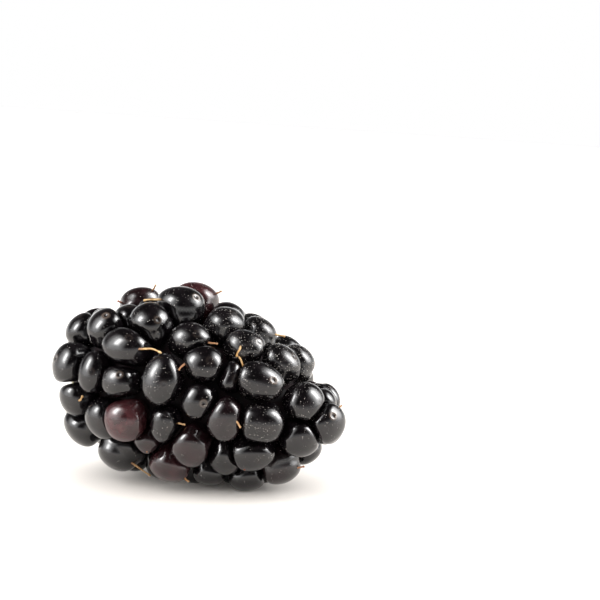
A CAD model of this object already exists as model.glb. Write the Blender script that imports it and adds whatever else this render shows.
"""A ripe bramble berry, lying on its side on a pale floor.

Lengths are in millimetres until a piece is made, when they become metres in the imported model's frame.
A place on the berry has two readings: along, in mm from the calyx end towards the tip, and around, in
degrees round the axis, where 0 is the top, 90 the front, 180 the underside and 270 the back.
"""

import bpy
import numpy as np
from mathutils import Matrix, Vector


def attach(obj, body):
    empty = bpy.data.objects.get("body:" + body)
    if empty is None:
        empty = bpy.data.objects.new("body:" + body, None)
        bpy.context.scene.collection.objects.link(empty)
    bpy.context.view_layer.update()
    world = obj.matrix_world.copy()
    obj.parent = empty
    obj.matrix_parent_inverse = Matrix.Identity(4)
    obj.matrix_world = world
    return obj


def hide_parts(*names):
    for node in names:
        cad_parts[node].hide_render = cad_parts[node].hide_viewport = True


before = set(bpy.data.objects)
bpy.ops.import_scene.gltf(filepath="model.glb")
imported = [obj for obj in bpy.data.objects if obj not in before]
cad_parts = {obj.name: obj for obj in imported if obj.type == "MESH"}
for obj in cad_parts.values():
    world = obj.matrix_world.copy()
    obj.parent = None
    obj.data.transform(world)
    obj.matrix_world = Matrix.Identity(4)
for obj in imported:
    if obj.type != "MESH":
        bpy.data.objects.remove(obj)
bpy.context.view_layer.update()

MM = 0.001
FLOOR_CLEARANCE = 0.015  # the skin that rests on the floor stays this far above it
SLOPE_STEP = 0.2  # each way along the axis, where a profile's slope is taken
rng = np.random.default_rng(20)

# ---- The berry's build, as in the solid model ---------------------------------------------------

TIP_DROP = np.radians(7)
MIDDLE = 17.0
SIDE_SHIFT = -0.04
AXIS_HEIGHT = 9.63
WIDEST = 15.3
CENTRES = (0.9, 33.0, 9.0)  # base, tip and girth
CORE = (2.2, 30.4, 6.6)
BASE_BLUNTNESS = 2.0
TIP_BLUNTNESS = 1.66
DRUPELET_RADIUS = 2.36
DRUPELET_HEIGHT = 1.8  # from its centre to its crown
DRUPELET_DEPTH = 3.0  # from its centre to its foot
FOOT_SPREAD = 0.35  # share by which it widens below its middle
FULLY_SPREAD = 0.4  # how far below its middle it has widened fully, as a cosine
PARTING = 0.14  # gap between two neighbours' skins
REACH_OF_NEIGHBOURS = 6.5  # centres further apart don't press on each other
ROUNDNESS = 7  # a lower value rounds the edges where neighbours press
SMALL_ONES_SINK = 2.5  # how much deeper a drupelet sits per unit of missing size
SCAR_RADIUS = 2.4
SCAR_FACE = 2.9  # stations of the scar's face and back
SCAR_BACK = 4.6

# along, around, size, stretch along the axis. Drupelets are numbered from 0 in this order, and the far
# rows' follow.
NEAR_SIDE = np.array([
    (3.9, 28, 0.85, 1), (7.4, 35.5, 0.92, 1), (7.7, -28, 1.03, 1), (12.4, 30, 0.97, 1),
    (14.2, 6, 1.05, 1.12), (14.1, -20, 1.1, 1), (8.9, 18, 0.68, 1), (4.5, 76, 1, 0.95),
    (11.1, 54.3, 1.02, 1.17), (8, 77, 0.88, 0.85), (11.3, 79, 0.85, 1.11), (16.4, 71, 1.05, 0.88),
    (17.6, 36.5, 0.87, 1.12), (20, 53, 0.95, 1.1), (19.6, 7, 0.9, 1), (16.8, -46, 1, 1),
    (22.2, -14, 0.85, 1), (23, 24, 0.9, 1.15), (20.3, -38, 0.9, 1), (26.4, 17, 0.88, 1.12),
    (24.1, -50, 0.93, 1), (22.7, 54, 0.65, 0.75), (25.7, 52, 1.05, 1.22), (20.4, 80, 0.85, 1),
    (30.2, 53, 0.92, 1), (5.6, 107, 0.88, 1), (9.9, 111, 0.95, 1), (12.7, 104.5, 1.05, 1.05),
    (17, 103, 0.78, 0.85), (23.4, 90, 0.97, 0.92), (26.8, 89.5, 1.05, 1.17), (6, 142, 1, 1),
    (10.4, 149, 1, 1), (19.9, 117, 0.97, 0.95), (17.2, 138, 1, 1), (25.8, 125, 0.97, 1.17),
    (23, 132, 0.85, 0.9), (30.3, 113, 0.93, 1), (32.2, 82, 0.95, 1), (30.2, -66, 0.74, 1),
    (27.4, 168, 1.04, 1), (24.3, 163, 1.04, 1), (20.8, 153, 0.88, 1), (28.9, 203, 0.85, 1),
    (14.7, 123, 0.66, 1), (27, -18, 0.82, 1), (3.4, -18, 0.8, 1), (14, 177, 0.88, 1),
    (17.9, 177, 0.84, 1), (21.6, 188, 0.9, 1), (10.2, -5, 0.64, 1), (5.3, 5, 0.64, 1),
    (18.4, -15.5, 0.84, 1), (31.1, -10, 0.56, 1), (10.9, -39, 0.85, 1),
])
# along, first around, last around, how many, size
FAR_ROWS = [
    (4.4, 176, 176, 1, 1.0), (3.0, 222, 300, 3, 1.0), (6.6, 194, 304, 5, 1.0),
    (10.2, 178, 300, 6, 0.97), (14.0, 205, 306, 5, 0.97), (17.9, 204, 290, 5, 0.95),
    (21.6, 216, 292, 4, 0.98), (25.0, 188, 284, 4, 0.97), (27.9, 236, 270, 2, 0.92),
    (31.2, 238, 238, 1, 0.8),
]
AXIS = np.array([1.0, 0.0, 0.0])


def reach(ovoid, along):
    """Distance of an ovoid's skin from the axis: girth times (1 - share^p)^(1/p), where share is how far
    the place is from the widest station towards its end, and p is that end's bluntness."""
    base, tip, girth = ovoid
    towards_base = along < WIDEST
    half = np.where(towards_base, WIDEST - base, tip - WIDEST)
    power = np.where(towards_base, BASE_BLUNTNESS, TIP_BLUNTNESS)
    share = np.clip(np.abs(along - WIDEST) / half, 0, 1)
    return girth * (1 - share**power) ** (1 / power)


def outward(around):
    """Unit vectors from the axis at the bearings given in degrees."""
    angle = np.radians(around)
    return np.stack([0 * angle, -np.sin(angle), np.cos(angle)], axis=-1)


def unit(vectors):
    """Each vector over its own length."""
    return vectors / np.linalg.norm(vectors, axis=-1, keepdims=True)


def in_frame(points):
    """Berry places to frame places: a turn by the tip's drop about Y, then a shift that puts the middle
    of the axis over the origin, at its height. Skin that would pass below the floor is laid on it."""
    c, s = np.cos(TIP_DROP), np.sin(TIP_DROP)
    turn = np.array([[c, 0, s], [0, 1, 0], [-s, 0, c]])
    shift = turn @ (-MIDDLE * AXIS) + np.array([0, SIDE_SHIFT, AXIS_HEIGHT])
    placed = points @ turn.T + shift
    placed[..., 2] = np.maximum(placed[..., 2], FLOOR_CLEARANCE)
    return placed * MM


def drupelet_places():
    """The near side's table, then each far row spread evenly between its two bearings."""
    rows = [
        np.stack([np.full(n, along), np.linspace(first, last, n), np.full(n, size), np.ones(n)], axis=1)
        for along, first, last, n, size in FAR_ROWS
    ]
    return np.concatenate([NEAR_SIDE, *rows])


ALONG, AROUND, SIZE, STRETCH = drupelet_places().T
COUNT = len(ALONG)
NEAR_COUNT = len(NEAR_SIDE)


def drupelet_frames():
    """Centre, normal, sideways and forwards of each drupelet. The normal leans by the profile's slope."""
    base, tip, _ = CENTRES
    ahead = np.minimum(ALONG + SLOPE_STEP, tip)
    behind = np.maximum(ALONG - SLOPE_STEP, base)
    slope = (reach(CENTRES, ahead) - reach(CENTRES, behind)) / (ahead - behind)
    normal = unit(outward(AROUND) - slope[:, None] * AXIS)
    distance = reach(CENTRES, ALONG) - (1 - SIZE) * SMALL_ONES_SINK
    centre = outward(AROUND) * distance[:, None] + ALONG[:, None] * AXIS
    sideways = unit(np.cross(normal, AXIS))
    return centre, normal, sideways, np.cross(sideways, normal)


CENTRE, NORMAL, SIDEWAYS, FORWARDS = drupelet_frames()


def presses():
    """For each pair, the unit direction from one drupelet to the other, and the distance at which they
    meet: the gap between centres shared out by size, less half the parting."""
    between = CENTRE[None] - CENTRE[:, None]
    gap = np.linalg.norm(between, axis=-1) + np.eye(COUNT)
    share = SIZE[:, None] / (SIZE[:, None] + SIZE[None])
    meets = gap * share - PARTING / 2
    meets[(gap > REACH_OF_NEIGHBOURS) | np.eye(COUNT, dtype=bool)] = np.inf
    return between / gap[..., None], meets


TOWARDS, MEETS = presses()


def skin_distance(which, directions):
    """Distance from a drupelet's centre to its skin: (ball^k + sum of (facing / meets)^k)^(-1/k), where
    ball is one over an oblate ball's radius that way, wider below its middle, and facing is how squarely
    it faces a neighbour."""
    upward = np.einsum("nmk,nk->nm", directions, NORMAL[which])
    forward = np.einsum("nmk,nk->nm", directions, FORWARDS[which])
    sideward = np.einsum("nmk,nk->nm", directions, SIDEWAYS[which])
    stretch = STRETCH[which][:, None]
    width = DRUPELET_RADIUS * (1 + FOOT_SPREAD * np.clip(-upward / FULLY_SPREAD, 0, 1))
    ball = np.sqrt(
        (upward / np.where(upward > 0, DRUPELET_HEIGHT, DRUPELET_DEPTH)) ** 2
        + (forward / (width * stretch)) ** 2
        + (sideward * stretch / width) ** 2
    ) / SIZE[which][:, None]
    facing = np.clip(np.einsum("nmk,njk->nmj", directions, TOWARDS[which]), 0, None)
    pressed = ((facing / MEETS[which][:, None, :]) ** ROUNDNESS).sum(axis=-1)
    return (ball**ROUNDNESS + pressed) ** (-1 / ROUNDNESS)


def direction_on(which, tilt, bearing):
    """A unit direction on a drupelet, tilted from its crown by degrees, on a bearing over its skin: 0 is
    towards the berry's tip, 90 is back round the berry."""
    t, b = np.radians(tilt)[..., None], np.radians(bearing)[..., None]
    return (
        np.cos(t) * NORMAL[which]
        + np.sin(t) * np.cos(b) * FORWARDS[which]
        + np.sin(t) * np.sin(b) * SIDEWAYS[which]
    )


# ---- Making meshes ------------------------------------------------------------------------------


def grid_faces(rows, columns):
    """Faces of a closed ball of rings: a fan of triangles at each pole and quads between the rings. The
    points are the first pole, then the rings in turn, then the last pole."""
    j = np.arange(columns)
    k = (j + 1) % columns
    ring = 1 + columns * np.arange(rows)[:, None]
    first = np.stack([np.zeros(columns, int), ring[0] + j, ring[0] + k], axis=1)
    last_pole = 1 + rows * columns
    last = np.stack([ring[-1] + k, ring[-1] + j, np.full(columns, last_pole)], axis=1)
    a, b = ring[:-1] + j, ring[:-1] + k
    quads = np.stack([a, a + columns, b + columns, b], axis=-1).reshape(-1, 4)
    return [first, quads, last]


def repeated_faces(faces, copies, points_each):
    """The same faces for each of several equal pieces, whose points follow one another."""
    offsets = (points_each * np.arange(copies))[:, None, None]
    return [(f[None] + offsets).reshape(-1, f.shape[1]) for f in faces]


def make_piece(name, points, faces, material, replaced, values=None):
    """A smooth mesh from whole arrays of points in the frame and faces, with one named number a point
    for each entry of values. It stands for the named nodes of the solid model."""
    mesh = bpy.data.meshes.new(name)
    flat = np.concatenate([f.reshape(-1) for f in faces])
    sides = np.concatenate([np.full(len(f), f.shape[1]) for f in faces])
    mesh.vertices.add(len(points))
    mesh.vertices.foreach_set("co", points.reshape(-1).astype(np.float32))
    mesh.loops.add(len(flat))
    mesh.loops.foreach_set("vertex_index", flat.astype(np.int32))
    mesh.polygons.add(len(sides))
    starts = np.concatenate([[0], np.cumsum(sides)[:-1]])
    mesh.polygons.foreach_set("loop_start", starts.astype(np.int32))
    mesh.polygons.foreach_set("use_smooth", np.ones(len(sides), bool))
    mesh.update(calc_edges=True)
    mesh.validate()
    for key, numbers in (values or {}).items():
        layer = mesh.attributes.new(key, "FLOAT", "POINT")
        layer.data.foreach_set("value", numbers.reshape(-1).astype(np.float32))
    mesh.materials.append(material)
    piece = bpy.data.objects.new(name, mesh)
    bpy.context.collection.objects.link(piece)
    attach(piece, "root")
    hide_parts(*replaced)


# ---- Shader groups ------------------------------------------------------------------------------


class Nodes:
    """Adds nodes to a tree and links them, one call a node."""

    def __init__(self, tree):
        self.tree = tree

    def add(self, kind, sets=None, **inputs):
        """A node of a kind, with its own properties in sets, and inputs that are sockets or values."""
        node = self.tree.nodes.new(kind)
        for key, value in (sets or {}).items():
            setattr(node, key, value)
        for key, value in inputs.items():
            self.put(node, key.replace("_", " "), value)
        return node

    def put(self, node, key, value):
        """Links a socket, or sets a value, on the input of that name or number."""
        socket = node.inputs[int(key[1:])] if key[0] == "i" and key[1:].isdigit() else node.inputs[key]
        if isinstance(value, bpy.types.NodeSocket):
            self.tree.links.new(value, socket)
        else:
            socket.default_value = value

    def math(self, operation, first, second=0.0, clamp=False):
        """The output of a Math node."""
        node = self.add("ShaderNodeMath", {"operation": operation, "use_clamp": clamp}, i0=first, i1=second)
        return node.outputs[0]

    def blend(self, factor, first, second):
        """The colour output of a Mix node."""
        node = self.add("ShaderNodeMix", {"data_type": "RGBA"}, i0=factor, i6=first, i7=second)
        return node.outputs[2]

    def between(self, value, low, high, new_low=0.0, new_high=1.0):
        """A value's place between two limits, smoothed and mapped to two new ones."""
        node = self.add(
            "ShaderNodeMapRange", {"interpolation_type": "SMOOTHSTEP"},
            Value=value, From_Min=low, From_Max=high, To_Min=new_low, To_Max=new_high,
        )
        return node.outputs[0]

    def noise(self, coordinates, scale, detail=3.0, roughness=0.55):
        """The value of a noise with that many lumps a metre."""
        node = self.add(
            "ShaderNodeTexNoise", Vector=coordinates, Scale=scale, Detail=detail, Roughness=roughness
        )
        return node.outputs[0]


def new_group(name, inputs, outputs):
    """A shader node group whose named inputs and outputs are all numbers."""
    group = bpy.data.node_groups.new(name, "ShaderNodeTree")
    for in_out, labels in [("INPUT", inputs), ("OUTPUT", outputs)]:
        for label in labels:
            group.interface.new_socket(label, in_out=in_out, socket_type="NodeSocketFloat")
    nodes = Nodes(group)
    return group, nodes, nodes.add("NodeGroupInput"), nodes.add("NodeGroupOutput")


def dust_group():
    """Fine dust: specks where a cell pattern's points are near, thinned out by the amount, and short
    hairs where a noise crosses its middle, both only in patches."""
    group, nodes, given, out = new_group("dust", ["Amount", "Grain"], ["Mask"])
    amount = given.outputs["Amount"]
    place = nodes.add("ShaderNodeTexCoord").outputs["Object"]
    cells = nodes.add("ShaderNodeTexVoronoi", Vector=place, Scale=given.outputs["Grain"])
    patches = nodes.noise(place, 700.0, 4.0, 0.7)
    speck = nodes.between(cells.outputs["Distance"], 0.34, 0.12)
    kept = nodes.between(
        nodes.add("ShaderNodeSeparateColor", Color=cells.outputs["Color"]).outputs[0],
        nodes.math("SUBTRACT", 1.0, nodes.math("MULTIPLY", amount, 0.6)),
        1.0,
    )
    sparse = nodes.math("SUBTRACT", 0.52, nodes.math("MULTIPLY", amount, 0.24))
    where = nodes.between(patches, sparse, nodes.math("ADD", sparse, 0.16))
    bent = nodes.noise(place, 1500.0, 2.0)
    crossing = nodes.math("ABSOLUTE", nodes.math("SUBTRACT", bent, 0.5))
    hair_patches = nodes.between(nodes.noise(place, 2600.0, 1.0), 0.61, 0.70)
    hair = nodes.math("MULTIPLY", nodes.between(crossing, 0.006, 0.0), hair_patches)
    hair = nodes.math("MULTIPLY", hair, nodes.math("MULTIPLY", amount, 0.9))
    specks = nodes.math("MULTIPLY", nodes.math("MULTIPLY", speck, kept), where)
    mask = nodes.math("MAXIMUM", specks, hair, clamp=True)
    nodes.put(out, "Mask", mask)
    return group


def grain_group():
    """Uneven surface: a coarse and a fine noise added by their shares, and the coarse one on its own."""
    group, nodes, given, out = new_group("grain", ["Coarse", "Fine", "Fine share"], ["Height", "Cloud"])
    place = nodes.add("ShaderNodeTexCoord").outputs["Object"]
    coarse = nodes.noise(place, given.outputs["Coarse"])
    fine = nodes.noise(place, given.outputs["Fine"], 2.0)
    height = nodes.math("ADD", coarse, nodes.math("MULTIPLY", fine, given.outputs["Fine share"]))
    nodes.put(out, "Height", height)
    nodes.put(out, "Cloud", coarse)
    return group


DUST = dust_group()
GRAIN = grain_group()

# ---- Materials ----------------------------------------------------------------------------------

SKIN_SHADES = (0.0010, 0.0008, 0.0011, 1), (0.0026, 0.0020, 0.0027, 1)
WINE_RED = (0.055, 0.014, 0.016, 1)
RIM_BROWN = (0.10, 0.075, 0.06, 1)
DUST_GREY = (0.50, 0.46, 0.42, 1)
GAP_SHADES = (0.002, 0.0012, 0.0018, 1), (0.008, 0.003, 0.004, 1)
PITH_SHADES = (0.34, 0.36, 0.15, 1), (0.52, 0.47, 0.27, 1)
FLECK_BROWN = (0.30, 0.20, 0.09, 1)
STRAW_SHADES = (0.33, 0.17, 0.045, 1), (0.56, 0.38, 0.18, 1)
RUSSET = (0.24, 0.06, 0.035, 1)
ROOT_BROWN = (0.10, 0.03, 0.012, 1)
FLOOR_SHADES = (0.87, 0.82, 0.77, 1), (0.90, 0.855, 0.805, 1)


def new_material(name):
    """A material, its node helper and its Principled shader."""
    material = bpy.data.materials.new(name)
    material.use_nodes = True
    material.node_tree.nodes.clear()
    nodes = Nodes(material.node_tree)
    shader = nodes.add("ShaderNodeBsdfPrincipled")
    nodes.add("ShaderNodeOutputMaterial", Surface=shader.outputs[0])
    return material, nodes, shader


def attribute(nodes, name):
    """The socket of a number that the mesh holds at each point."""
    return nodes.add("ShaderNodeAttribute", {"attribute_name": name}).outputs["Fac"]


def grain_of(nodes, coarse, fine, fine_share):
    """The grain group's node, with its two scales and the fine one's share."""
    return nodes.add(
        "ShaderNodeGroup", {"node_tree": GRAIN}, Coarse=coarse, Fine=fine, Fine_share=fine_share
    )


def bumped(nodes, shader, height, strength, distance):
    """Feeds a height to the shader's normal through a bump."""
    bump = nodes.add("ShaderNodeBump", Strength=strength, Distance=distance, Height=height)
    nodes.put(shader, "Normal", bump.outputs[0])


def skin_material():
    """Near-black glossy skin. The ripening attribute turns it wine red in clouds, the dusty one strews
    dust on it, and the scar one lightens the rim of the pit where a style stood."""
    material, nodes, shader = new_material("drupelet_skin")
    ripening = attribute(nodes, "ripening")
    dusty = attribute(nodes, "dusty")
    scar = attribute(nodes, "scar")
    grain = grain_of(nodes, 650.0, 4200.0, 0.22)
    dust = nodes.add("ShaderNodeGroup", {"node_tree": DUST}, Amount=dusty, Grain=6400.0).outputs["Mask"]
    cloud = nodes.between(grain.outputs["Cloud"], 0.36, 0.64)
    red = nodes.math("MULTIPLY", ripening, nodes.between(cloud, 0.0, 1.0, 0.45, 1.0), clamp=True)
    tinted = nodes.blend(red, nodes.blend(cloud, *SKIN_SHADES), WINE_RED)
    rimmed = nodes.blend(scar, tinted, RIM_BROWN)
    nodes.put(shader, "Base Color", nodes.blend(dust, rimmed, DUST_GREY))
    clean = nodes.between(cloud, 0.0, 1.0, 0.13, 0.21)
    rough = nodes.math("ADD", clean, nodes.math("MULTIPLY", dusty, 0.08))
    nodes.put(shader, "Roughness", nodes.math("ADD", rough, nodes.math("MULTIPLY", dust, 0.5)))
    height = nodes.math("ADD", grain.outputs["Height"], nodes.math("MULTIPLY", dust, 0.8))
    bumped(nodes, shader, height, 0.35, 0.04 * MM)
    shader.inputs["IOR"].default_value = 1.46
    shader.inputs["Coat Weight"].default_value = 0.2
    shader.inputs["Coat Roughness"].default_value = 0.1
    return material


def gap_material():
    """The juice-dark receptacle between the drupelets, dull, in two shades of near-black."""
    material, nodes, shader = new_material("gap_floor")
    grain = grain_of(nodes, 900.0, 4200.0, 0.5)
    cloud = nodes.between(grain.outputs["Cloud"], 0.36, 0.64)
    nodes.put(shader, "Base Color", nodes.blend(cloud, *GAP_SHADES))
    nodes.put(shader, "Roughness", nodes.between(cloud, 0.0, 1.0, 0.6, 0.85))
    shader.inputs["Specular IOR Level"].default_value = 0.15
    return material


def pith_material():
    """Pale green stalk tissue in creamy clouds, with brown flecks drawn out along the axis."""
    material, nodes, shader = new_material("stalk_tissue")
    place = nodes.add("ShaderNodeTexCoord").outputs["Object"]
    grain = grain_of(nodes, 900.0, 3800.0, 0.6)
    drawn = nodes.add("ShaderNodeMapping", Vector=place, Scale=(0.2, 1.0, 1.0)).outputs[0]
    fibres = nodes.noise(drawn, 3200.0, 3.0, 0.7)
    cloud = nodes.between(grain.outputs["Cloud"], 0.35, 0.65)
    green = nodes.blend(cloud, *PITH_SHADES)
    flecked = nodes.blend(nodes.between(fibres, 0.45, 0.7), green, FLECK_BROWN)
    nodes.put(shader, "Base Color", flecked)
    nodes.put(shader, "Roughness", nodes.between(cloud, 0.0, 1.0, 0.55, 0.8))
    bumped(nodes, shader, nodes.math("ADD", grain.outputs["Height"], fibres), 0.6, 0.1 * MM)
    return material


def style_material():
    """Dry straw-coloured thread in two clouded shades, russet by its warmth and browner at its root."""
    material, nodes, shader = new_material("dried_style")
    length = attribute(nodes, "length")
    warmth = attribute(nodes, "warmth")
    grain = grain_of(nodes, 1800.0, 9000.0, 0.6)
    cloud = nodes.between(grain.outputs["Cloud"], 0.35, 0.65)
    warmed = nodes.blend(warmth, nodes.blend(cloud, *STRAW_SHADES), RUSSET)
    root = nodes.between(length, 0.35, 0.0)
    nodes.put(shader, "Base Color", nodes.blend(root, warmed, ROOT_BROWN))
    nodes.put(shader, "Roughness", nodes.between(cloud, 0.0, 1.0, 0.4, 0.62))
    bumped(nodes, shader, grain.outputs["Height"], 0.5, 0.04 * MM)
    return material


def floor_material():
    """Plain pale matte floor with the faintest unevenness."""
    material, nodes, shader = new_material("pale_floor")
    grain = grain_of(nodes, 60.0, 400.0, 0.3)
    cloud = nodes.between(grain.outputs["Cloud"], 0.3, 0.7)
    nodes.put(shader, "Base Color", nodes.blend(cloud, *FLOOR_SHADES))
    shader.inputs["Roughness"].default_value = 0.6
    return material


# ---- Drupelets ----------------------------------------------------------------------------------

# The pit where each drupelet's style stood: (tilt, bearing), where it isn't at its usual place.
PITS = {
    1: (33, 0), 3: (60, -25), 4: (58, -10), 7: (15, 120), 10: (42, 48),
    17: (38, 5), 19: (36, 10), 22: (40, 5), 23: (28, 0), 38: (36, 100),
}
# How plainly each of those pits shows, from 0 to 1.
PLAIN_PITS = {1: 0.9, 3: 0.4, 4: 1.0, 7: 0.6, 10: 0.5, 17: 0.5, 19: 0.4, 22: 1.0, 23: 0.6, 38: 1.0}
# How red the drupelets are that aren't black, and how much dust lies on those that stand out.
RIPENING = {27: 0.95, 5: 1.0, 34: 0.6, 2: 0.35, 33: 0.25, 44: 0.25, 29: 0.12, 40: 0.15}
DUSTY = {
    17: 0.9, 18: 0.9, 19: 1.0, 20: 0.9, 45: 0.9, 22: 0.6, 16: 0.9, 12: 0.5, 4: 0.4, 3: 0.35, 24: 0.5,
    39: 0.9, 13: 0.4, 11: 0.5, 30: 0.5, 38: 0.4, 14: 0.7, 5: 0.5, 2: 0.4, 8: 0.2, 29: 0.35,
}
PIT_DEPTH = 0.13
PIT_RADIUS = 0.2
RIM_HEIGHT = 0.035
RIM_AWAY, RIM_WIDTH = 1.6, 0.55  # from the pit's middle, and its own, in pit radii
CROWDING = 1.3  # over 1, the rings lie closer together near the pit
LUMP = 0.02  # share of the radius
LUMP_TURNS = 4.2  # radians of a lump's wave across a unit of direction
LUMPS = 4  # waves on each drupelet
USUAL_TILTS = (24, 44)  # of a pit, in degrees
USUAL_BEARINGS = (-35, 35)
USUAL_RED = 0.02
FAR_RED, FAR_RED_FROM = 0.45, 0.85  # of a far drupelet whose draw is over the second
NEAR_PLAINNESS = 0.12
FAR_PLAINNESS = (0.1, 0.9)
USUAL_DUST = (0.08, 0.3)
CROWN_RED = 0.45  # share of the red that goes from the crown to the middle
LEAST_RED = 0.1  # share of the red that is left at the foot
NEAR_GRID = (29, 56)  # rings, and points round each
FAR_GRID = (25, 48)


def by_number(special, usual):
    """One number a drupelet: the usual ones, with the special ones put in by their drupelet's number."""
    numbers = np.array(usual, dtype=float)
    numbers[list(special)] = list(special.values())
    return numbers


PIT_TILT = by_number({k: v[0] for k, v in PITS.items()}, rng.uniform(*USUAL_TILTS, COUNT))
PIT_BEARING = by_number({k: v[1] for k, v in PITS.items()}, rng.uniform(*USUAL_BEARINGS, COUNT))
FAR_SIDE = np.arange(COUNT) >= NEAR_COUNT
FAR_REDS = FAR_SIDE & (rng.random(COUNT) > FAR_RED_FROM)
RIPENING_OF = by_number(RIPENING, np.where(FAR_REDS, FAR_RED, USUAL_RED))
PIT_SHOWS = by_number(PLAIN_PITS, np.where(FAR_SIDE, rng.uniform(*FAR_PLAINNESS, COUNT), NEAR_PLAINNESS))
DUSTY_OF = by_number(DUSTY, rng.uniform(*USUAL_DUST, COUNT))
LUMP_WAYS = unit(rng.normal(size=(COUNT, LUMPS, 3)))
LUMP_PHASES = rng.uniform(0, 2 * np.pi, (COUNT, LUMPS))


def drupelet_piece(name, which, grid, material):
    """Balls of rings whose first pole is the style's pit. Each skin is the pressed ball, waved a little
    by four sines of the direction, and sunk at the pit by depth * exp(-(arc / radius)^2) inside a
    slightly raised rim."""
    rows, columns = grid
    poles = direction_on(which, PIT_TILT[which], PIT_BEARING[which])
    across = unit(np.cross(poles, SIDEWAYS[which]))
    beside = np.cross(poles, across)
    share = np.arange(1, rows + 1) / (rows + 1)
    tilt = np.pi * share**CROWDING
    bearing = 2 * np.pi * np.arange(columns) / columns
    t, b = [v.reshape(-1) for v in np.meshgrid(tilt, bearing, indexing="ij")]
    t, b = np.concatenate([[0], t, [np.pi]]), np.concatenate([[0], b, [0]])
    directions = (
        np.cos(t)[None, :, None] * poles[:, None]
        + (np.sin(t) * np.cos(b))[None, :, None] * across[:, None]
        + (np.sin(t) * np.sin(b))[None, :, None] * beside[:, None]
    )
    distance = skin_distance(which, directions)
    ways = np.einsum("nmk,njk->nmj", directions, LUMP_WAYS[which])
    waves = np.sin(LUMP_TURNS * ways + LUMP_PHASES[which][:, None])
    distance *= 1 + LUMP * waves.mean(axis=-1)
    arc = t[None] * distance
    pit = PIT_DEPTH * np.exp(-((arc / PIT_RADIUS) ** 2))
    rim = np.exp(-(((arc - RIM_AWAY * PIT_RADIUS) / (RIM_WIDTH * PIT_RADIUS)) ** 2))
    distance += (RIM_HEIGHT * rim - pit) * PIT_SHOWS[which][:, None]
    points = CENTRE[which][:, None] + directions * distance[..., None]
    per_ball = points.shape[1]
    faces = repeated_faces(grid_faces(rows, columns), len(which), per_ball)
    upward = np.einsum("nmk,nk->nm", directions, NORMAL[which])
    reddened = np.clip(1 - CROWN_RED + CROWN_RED * upward, LEAST_RED, 1)
    values = {
        "ripening": RIPENING_OF[which][:, None] * reddened,
        "dusty": np.repeat(DUSTY_OF[which][:, None], per_ball, axis=1),
        "scar": rim * PIT_SHOWS[which][:, None],
    }
    make_piece(name, in_frame(points.reshape(-1, 3)), faces, material, ["berry"], values)


# ---- Receptacle ---------------------------------------------------------------------------------

POCKET_MARGIN = 0.2  # how far beyond the scar's edge the receptacle's end is pushed in
BEHIND_SCAR = 0.3  # how far behind the scar's back that end then lies


def core_piece(material):
    """The receptacle inside, a surface of revolution of the core's ovoid, seen only as the dark floor of
    the gaps between drupelets. Its blunt end is pushed in flat, behind the stalk scar."""
    rows, columns = 60, 48
    base, tip, _ = CORE
    pushed_in = SCAR_BACK + BEHIND_SCAR
    share = np.arange(1, rows + 1) / (rows + 1)
    along = base + (tip - base) * (1 - np.cos(np.pi * share)) / 2
    around = -360 * np.arange(columns) / columns
    distance = reach(CORE, along)
    in_pocket = (distance < SCAR_RADIUS + POCKET_MARGIN) & (along < WIDEST)
    along = np.where(in_pocket, pushed_in, along)
    ring = outward(around)[None] * distance[:, None, None] + along[:, None, None] * AXIS
    points = np.concatenate([[pushed_in * AXIS], ring.reshape(-1, 3), [tip * AXIS]])
    make_piece("receptacle", in_frame(points), grid_faces(rows, columns), material, ["berry"])


# ---- Stalk scar ---------------------------------------------------------------------------------

SCAR_DIP = 0.42  # depth of the torn middle
SCAR_DIP_WIDTH = 0.22  # as a share of the way from the middle to the edge
SCAR_ROUNDING = 0.28  # how far the face falls away at its edge
SCAR_SIDE = 0.5  # how far behind the face the straight side starts
FACE_STEPS, SIDE_STEPS = 21, 4
RIDGES = [(0.06, 11, 3), (0.04, 23, -7)]  # height, how many round the face, and twist in radians
RIDGES_AT, RIDGES_WIDTH = 0.55, 0.4  # shares of the radius


def stalk_scar_piece(material):
    """A turned button. By the share s of the way from its middle to its edge, the radius is that of the
    scar times sin(90 deg * s)^0.9, and the face dips by depth * exp(-(s / width)^2) and falls away by
    rounding * s^6. Ridges, sines of the bearing that twist with the radius, wave it half way out."""
    columns = 72
    s = np.arange(1, FACE_STEPS + 1) / FACE_STEPS
    radius = np.concatenate([
        SCAR_RADIUS * np.sin(s * np.pi / 2) ** 0.9,
        np.full(SIDE_STEPS, SCAR_RADIUS),
    ])
    along = np.concatenate([
        SCAR_FACE + SCAR_ROUNDING * s**6 + SCAR_DIP * np.exp(-((s / SCAR_DIP_WIDTH) ** 2)),
        np.linspace(SCAR_FACE + SCAR_SIDE, SCAR_BACK, SIDE_STEPS),
    ])
    around = -360 * np.arange(columns) / columns
    turn = np.radians(around)[None]
    share = (radius / SCAR_RADIUS)[:, None]
    waves = sum(height * np.sin(count * turn + twist * share) for height, count, twist in RIDGES)
    ridges = share * waves * np.exp(-(((share - RIDGES_AT) / RIDGES_WIDTH) ** 2))
    before_back = (along < SCAR_BACK)[:, None]
    depth = along[:, None] + np.where(before_back, ridges, 0)
    ring = outward(around)[None] * radius[:, None, None] + depth[..., None] * AXIS
    middle = (SCAR_FACE + SCAR_DIP) * AXIS
    points = np.concatenate([[middle], ring.reshape(-1, 3), [SCAR_BACK * AXIS]])
    faces = grid_faces(len(radius), columns)
    make_piece("stalk_scar_tissue", in_frame(points), faces, material, ["stalk_scar"])


# ---- Styles -------------------------------------------------------------------------------------

STYLE_ROOT = 0.25  # how deep a style starts below the skin
STYLE_WOBBLE = 0.04  # share of the length
WOBBLE_RUN, WOBBLE_STEP = 7, 5  # radians along a style, and from one style to the next
ROOT_RADIUS = 0.125
TAPER = 0.05  # how much thinner a style is at its end
STIGMA = 0.06  # how much its end swells
STIGMA_AT, STIGMA_WIDTH = 0.94, 0.05  # shares of the length
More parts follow.
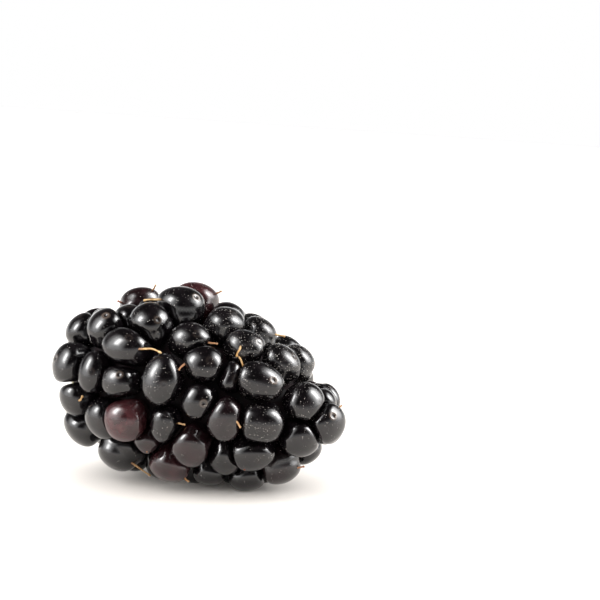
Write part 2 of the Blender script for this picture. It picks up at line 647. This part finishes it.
# drupelet, tilt, bearing, heading, rise, bend, length, warmth of colour
STYLES = np.array([
    (4, 70, -140, -140, 20, 20, 2.2, 0), (2, 60, -30, -60, 45, 0, 1.2, 0.3),
    (8, 70, -10, 20, 20, -25, 3, 0), (12, 80, 0, 10, 10, 0, 1.2, 0.5),
    (13, 70, -160, -110, 10, 0, 1.2, 0.6), (17, 50, -110, -70, 10, -10, 2, 0),
    (17, 90, -100, -40, 10, 10, 1.8, 0.1), (16, 70, -10, 80, 40, 0, 1.4, 0.1),
    (25, 70, 20, 40, 20, 20, 1.6, 0.1), (32, 80, 20, -50, 10, -20, 3, 0.2),
    (28, 90, 20, -10, 20, 0, 1, 0.3), (29, 40, 30, -50, 10, 0, 1.2, 0.3),
    (35, 40, 180, -50, 20, 0, 0.8, 0.9), (40, 80, 20, -150, 40, 20, 1, 0.5),
    (40, 70, 20, -50, 20, 20, 1, 0.6), (18, 70, -80, 90, 40, 0, 1, 0.8),
    (5, 60, 10, -60, 40, 0, 1.2, 0.5), (38, 80, 60, 30, 20, 0, 0.6, 0.2),
    (2, 90, -140, -100, 10, 0, 1, 0.9), (34, 60, -30, -60, 40, 0, 0.8, 0.3),
    (44, 10, 150, -40, 10, 0, 0.8, 0.6),
])
FAR_STYLED = np.array([56, 58, 60, 62, 66, 68, 71, 73, 77, 79, 81, 83, 86, 88])
FAR_TURN = 137.5  # degrees from one far style's bearing to the next one's
FAR_TILT, FAR_HEADING, FAR_RISE, FAR_BEND = 45, 35, 30, 25
FAR_LENGTHS = [1.6, 1.9, 2.2, 2.5]
FAR_WARMTHS = [0, 0.25, 0.5]


def all_styles():
    """The near side's styles, then those of the far side, each turned on from the one before."""
    order = np.arange(len(FAR_STYLED))
    bearing = order * FAR_TURN
    ones = np.ones(len(FAR_STYLED))
    length = np.take(FAR_LENGTHS, order % len(FAR_LENGTHS))
    warmth = np.take(FAR_WARMTHS, order % len(FAR_WARMTHS))
    far = np.stack([
        FAR_STYLED, FAR_TILT * ones, bearing, bearing + FAR_HEADING,
        FAR_RISE * ones, FAR_BEND * ones, length, warmth,
    ], axis=1)
    return np.concatenate([STYLES, far])


def style_pieces(material):
    """Threads along curves, in one mesh. Each curve is root + start * length * s + side * length *
    (tan(bend) * s^2 / 2 + wobble * s), where the wobble is a sine of s. Its radius tapers from root to
    end, where it swells a little into the dry stigma."""
    table = all_styles()
    which = table[:, 0].astype(int)
    tilt, bearing, heading, rise, bend, length, warmth = table[:, 1:].T
    rooted = direction_on(which, tilt, bearing)
    skin = skin_distance(which, rooted[:, None])[:, 0]
    root = CENTRE[which] + rooted * (skin - STYLE_ROOT)[:, None]
    flat = direction_on(which, np.full(len(which), 90.0), heading)
    lift = np.radians(rise)[:, None]
    start = unit(rooted * np.sin(lift) + flat * np.cos(lift))
    side = unit(np.cross(NORMAL[which], flat))
    steps, sides = 16, 8
    s = np.linspace(0, 1, steps)[None, :, None]
    reachout = length[:, None, None]
    curl = np.tan(np.radians(bend))[:, None, None]
    phase = WOBBLE_STEP * np.arange(len(which))[:, None, None]
    wobble = STYLE_WOBBLE * np.sin(WOBBLE_RUN * s + phase)
    aside = side[:, None] * reachout * (curl * s**2 / 2 + wobble * s)
    path = root[:, None] + start[:, None] * reachout * s + aside
    ahead = unit(np.gradient(path, axis=1))
    off_thread = NORMAL[which][:, None] + 0.3 * side[:, None]  # a way that no thread takes
    right = unit(np.cross(ahead, off_thread))
    over = np.cross(right, ahead)
    radius = ROOT_RADIUS - TAPER * s + STIGMA * np.exp(-(((s - STIGMA_AT) / STIGMA_WIDTH) ** 2))
    angle = (2 * np.pi * np.arange(sides) / sides)[None, None, :, None]
    spokes = np.cos(angle) * right[:, :, None] + np.sin(angle) * over[:, :, None]
    ring = path[:, :, None] + radius[:, :, None] * spokes
    points = np.concatenate([path[:, :1], ring.reshape(len(which), -1, 3), path[:, -1:]], axis=1)
    per_thread = points.shape[1]
    faces = repeated_faces(grid_faces(steps, sides), len(which), per_thread)
    run = np.concatenate([[0], np.repeat(s[0, :, 0], sides), [1]])
    values = {
        "length": np.broadcast_to(run, (len(which), per_thread)).copy(),
        "warmth": np.repeat(warmth[:, None], per_thread, axis=1),
    }
    names = [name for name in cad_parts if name.startswith("style_")]
    placed = in_frame(points.reshape(-1, 3))
    make_piece("dried_styles", placed, faces, material, names, values)


# ---- Camera, light and floor --------------------------------------------------------------------

CAMERA_AZIMUTH = np.radians(25)
CAMERA_HEIGHT = np.radians(13)
CAMERA_DISTANCE = 0.4
LENS = 228.0
AIM_STATION = 16.3  # of the axis
AIM_ASIDE = 0.01126  # metres, past the berry's middle
AIM_ABOVE = 0.00937
SKY_BRIGHTNESS = 2.0
TABLE_GLOW = 1.8
WALL_GLOW = 0.4
ROOM_GLOW = 0.02
# What the skin mirrors, by how far the way looked goes back or up: where each glow starts and is full.
WALL_BACK, WALL_TOP = (-0.35, -0.8), (0.7, 0.2)
HORIZON = (0.30, -0.06)
TABLE_UNDER, TABLE_OUT = (-1.0, 0.5), (-0.35, 1.0)  # how far up, and the table's glow there
# azimuth from the camera's and height in degrees, then half width, half height and soft edge as slopes,
# and brightness
MIRRORED_BOXES = [
    (-72, 30, 0.50, 0.55, 0.35, 4.5),
    (-70, 36, 0.13, 0.28, 0.12, 24.0),
    (88, 32, 0.42, 0.50, 0.30, 11.0),
    (84, 38, 0.12, 0.28, 0.12, 24.0),
]
# name, azimuth and height in degrees
LIGHTS = [("left_box", -50, 38), ("right_box", 125, 32)]
LIGHT_DISTANCE = 0.45
LIGHT_WIDTH, LIGHT_TALL = 0.3, 0.42
LIGHT_BRIGHTNESS = 1.2
FLOOR_HALF = 0.22


def view_axes(azimuth, height):
    """Back, right and up unit vectors of a view from that azimuth and height."""
    back = np.array([
        np.sin(azimuth) * np.cos(height),
        -np.cos(azimuth) * np.cos(height),
        np.sin(height),
    ])
    right = np.array([np.cos(azimuth), np.sin(azimuth), 0.0])
    return back, right, np.cross(back, right)


def place_camera():
    """The camera looks past the berry, so that the berry sits low and left in the picture."""
    back, right, up = view_axes(CAMERA_AZIMUTH, CAMERA_HEIGHT)
    aim = in_frame(np.array([AIM_STATION, 0.0, 0.0]))
    target = aim + right * AIM_ASIDE + up * AIM_ABOVE
    data = bpy.data.cameras.new("camera")
    data.lens = LENS
    data.sensor_width = 36.0
    data.clip_start, data.clip_end = 0.01, 50.0
    camera = bpy.data.objects.new("camera", data)
    bpy.context.collection.objects.link(camera)
    camera.location = Vector(aim + back * CAMERA_DISTANCE)
    camera.rotation_euler = Vector(target - np.array(camera.location)).to_track_quat("-Z", "Y").to_euler()
    bpy.context.scene.camera = camera


def soft_light(name, azimuth, height):
    """A rectangular light that faces the berry from an azimuth and height. Its power is its brightness
    times its area times pi."""
    back, _, _ = view_axes(np.radians(azimuth), np.radians(height))
    data = bpy.data.lights.new(name, "AREA")
    data.shape = "RECTANGLE"
    data.size, data.size_y = LIGHT_WIDTH, LIGHT_TALL
    data.energy = LIGHT_BRIGHTNESS * LIGHT_WIDTH * LIGHT_TALL * np.pi
    light = bpy.data.objects.new(name, data)
    bpy.context.collection.objects.link(light)
    centre = np.array([0.0, 0.0, AXIS_HEIGHT * MM])
    light.location = Vector(centre + back * LIGHT_DISTANCE)
    light.rotation_euler = Vector(back).to_track_quat("Z", "Y").to_euler()


def mirrored_room(nodes):
    """The brightness of the room that the skin mirrors, by the way looked: a dark room with a pale wall
    behind, a pale table that fades across the horizon, and the soft boxes."""
    way = nodes.add("ShaderNodeTexCoord").outputs["Generated"]

    def along_way(axis):
        """How far the way looked points along an axis."""
        dot = nodes.add("ShaderNodeVectorMath", {"operation": "DOT_PRODUCT"}, i0=way, i1=tuple(axis))
        return dot.outputs["Value"]

    def box(azimuth, height, half_width, half_height, soft, brightness):
        """A soft-edged rectangle of light: the way's slopes beside and above the box's middle, each faded
        out over soft beyond its half size."""
        back, right, up = view_axes(CAMERA_AZIMUTH + np.radians(azimuth), np.radians(height))
        ahead = nodes.math("MAXIMUM", along_way(back), 0.001)
        across = nodes.math("ABSOLUTE", nodes.math("DIVIDE", along_way(right), ahead))
        above = nodes.math("ABSOLUTE", nodes.math("DIVIDE", along_way(up), ahead))
        inside = nodes.math(
            "MULTIPLY",
            nodes.between(across, half_width + soft, half_width - soft),
            nodes.between(above, half_height + soft, half_height - soft),
        )
        return nodes.math("MULTIPLY", inside, brightness)

    back, _, _ = view_axes(CAMERA_AZIMUTH, 0.0)
    height = along_way((0, 0, 1))
    wall = nodes.math(
        "MULTIPLY", nodes.between(along_way(back), *WALL_BACK), nodes.between(height, *WALL_TOP)
    )
    (under, glow_under), (out, glow_out) = TABLE_UNDER, TABLE_OUT
    spread = nodes.between(height, under, out, glow_under, glow_out)
    table = nodes.math("MULTIPLY", nodes.between(height, *HORIZON), spread)
    mirrored = nodes.math("ADD", nodes.math("MULTIPLY", wall, WALL_GLOW), ROOM_GLOW)
    mirrored = nodes.math("ADD", mirrored, nodes.math("MULTIPLY", table, TABLE_GLOW))
    for card in MIRRORED_BOXES:
        mirrored = nodes.math("ADD", mirrored, box(*card))
    return mirrored


def make_world():
    """A world that is plain white to the camera, an even bright sky to what it lights, and the mirrored
    room to glossy skin."""
    world = bpy.data.worlds.new("studio")
    bpy.context.scene.world = world
    world.use_nodes = True
    world.node_tree.nodes.clear()
    nodes = Nodes(world.node_tree)

    def background(strength):
        """The shader of a white background of that strength."""
        return nodes.add("ShaderNodeBackground", Color=(1, 1, 1, 1), Strength=strength).outputs[0]

    paths = nodes.add("ShaderNodeLightPath").outputs
    sky, room, white = [background(strength) for strength in (SKY_BRIGHTNESS, mirrored_room(nodes), 1.0)]
    lit = nodes.add("ShaderNodeMixShader", i0=paths["Is Glossy Ray"], i1=sky, i2=room)
    mixed = nodes.add("ShaderNodeMixShader", i0=paths["Is Camera Ray"], i1=lit.outputs[0], i2=white)
    nodes.add("ShaderNodeOutputWorld", Surface=mixed.outputs[0])


def make_floor():
    """A square floor under the berry."""
    half = FLOOR_HALF
    corners = [(-half, -half, 0), (half, -half, 0), (half, half, 0), (-half, half, 0)]
    mesh = bpy.data.meshes.new("floor")
    mesh.from_pydata(corners, [], [(0, 1, 2, 3)])
    mesh.materials.append(floor_material())
    floor = bpy.data.objects.new("floor", mesh)
    bpy.context.collection.objects.link(floor)


place_camera()
make_world()
for light in LIGHTS:
    soft_light(*light)
make_floor()
bpy.context.scene.view_settings.view_transform = "Standard"

skin = skin_material()
numbers = np.arange(COUNT)
drupelet_piece("drupelets_near", numbers[:NEAR_COUNT], NEAR_GRID, skin)
drupelet_piece("drupelets_far", numbers[NEAR_COUNT:], FAR_GRID, skin)
core_piece(gap_material())
stalk_scar_piece(pith_material())
style_pieces(style_material())
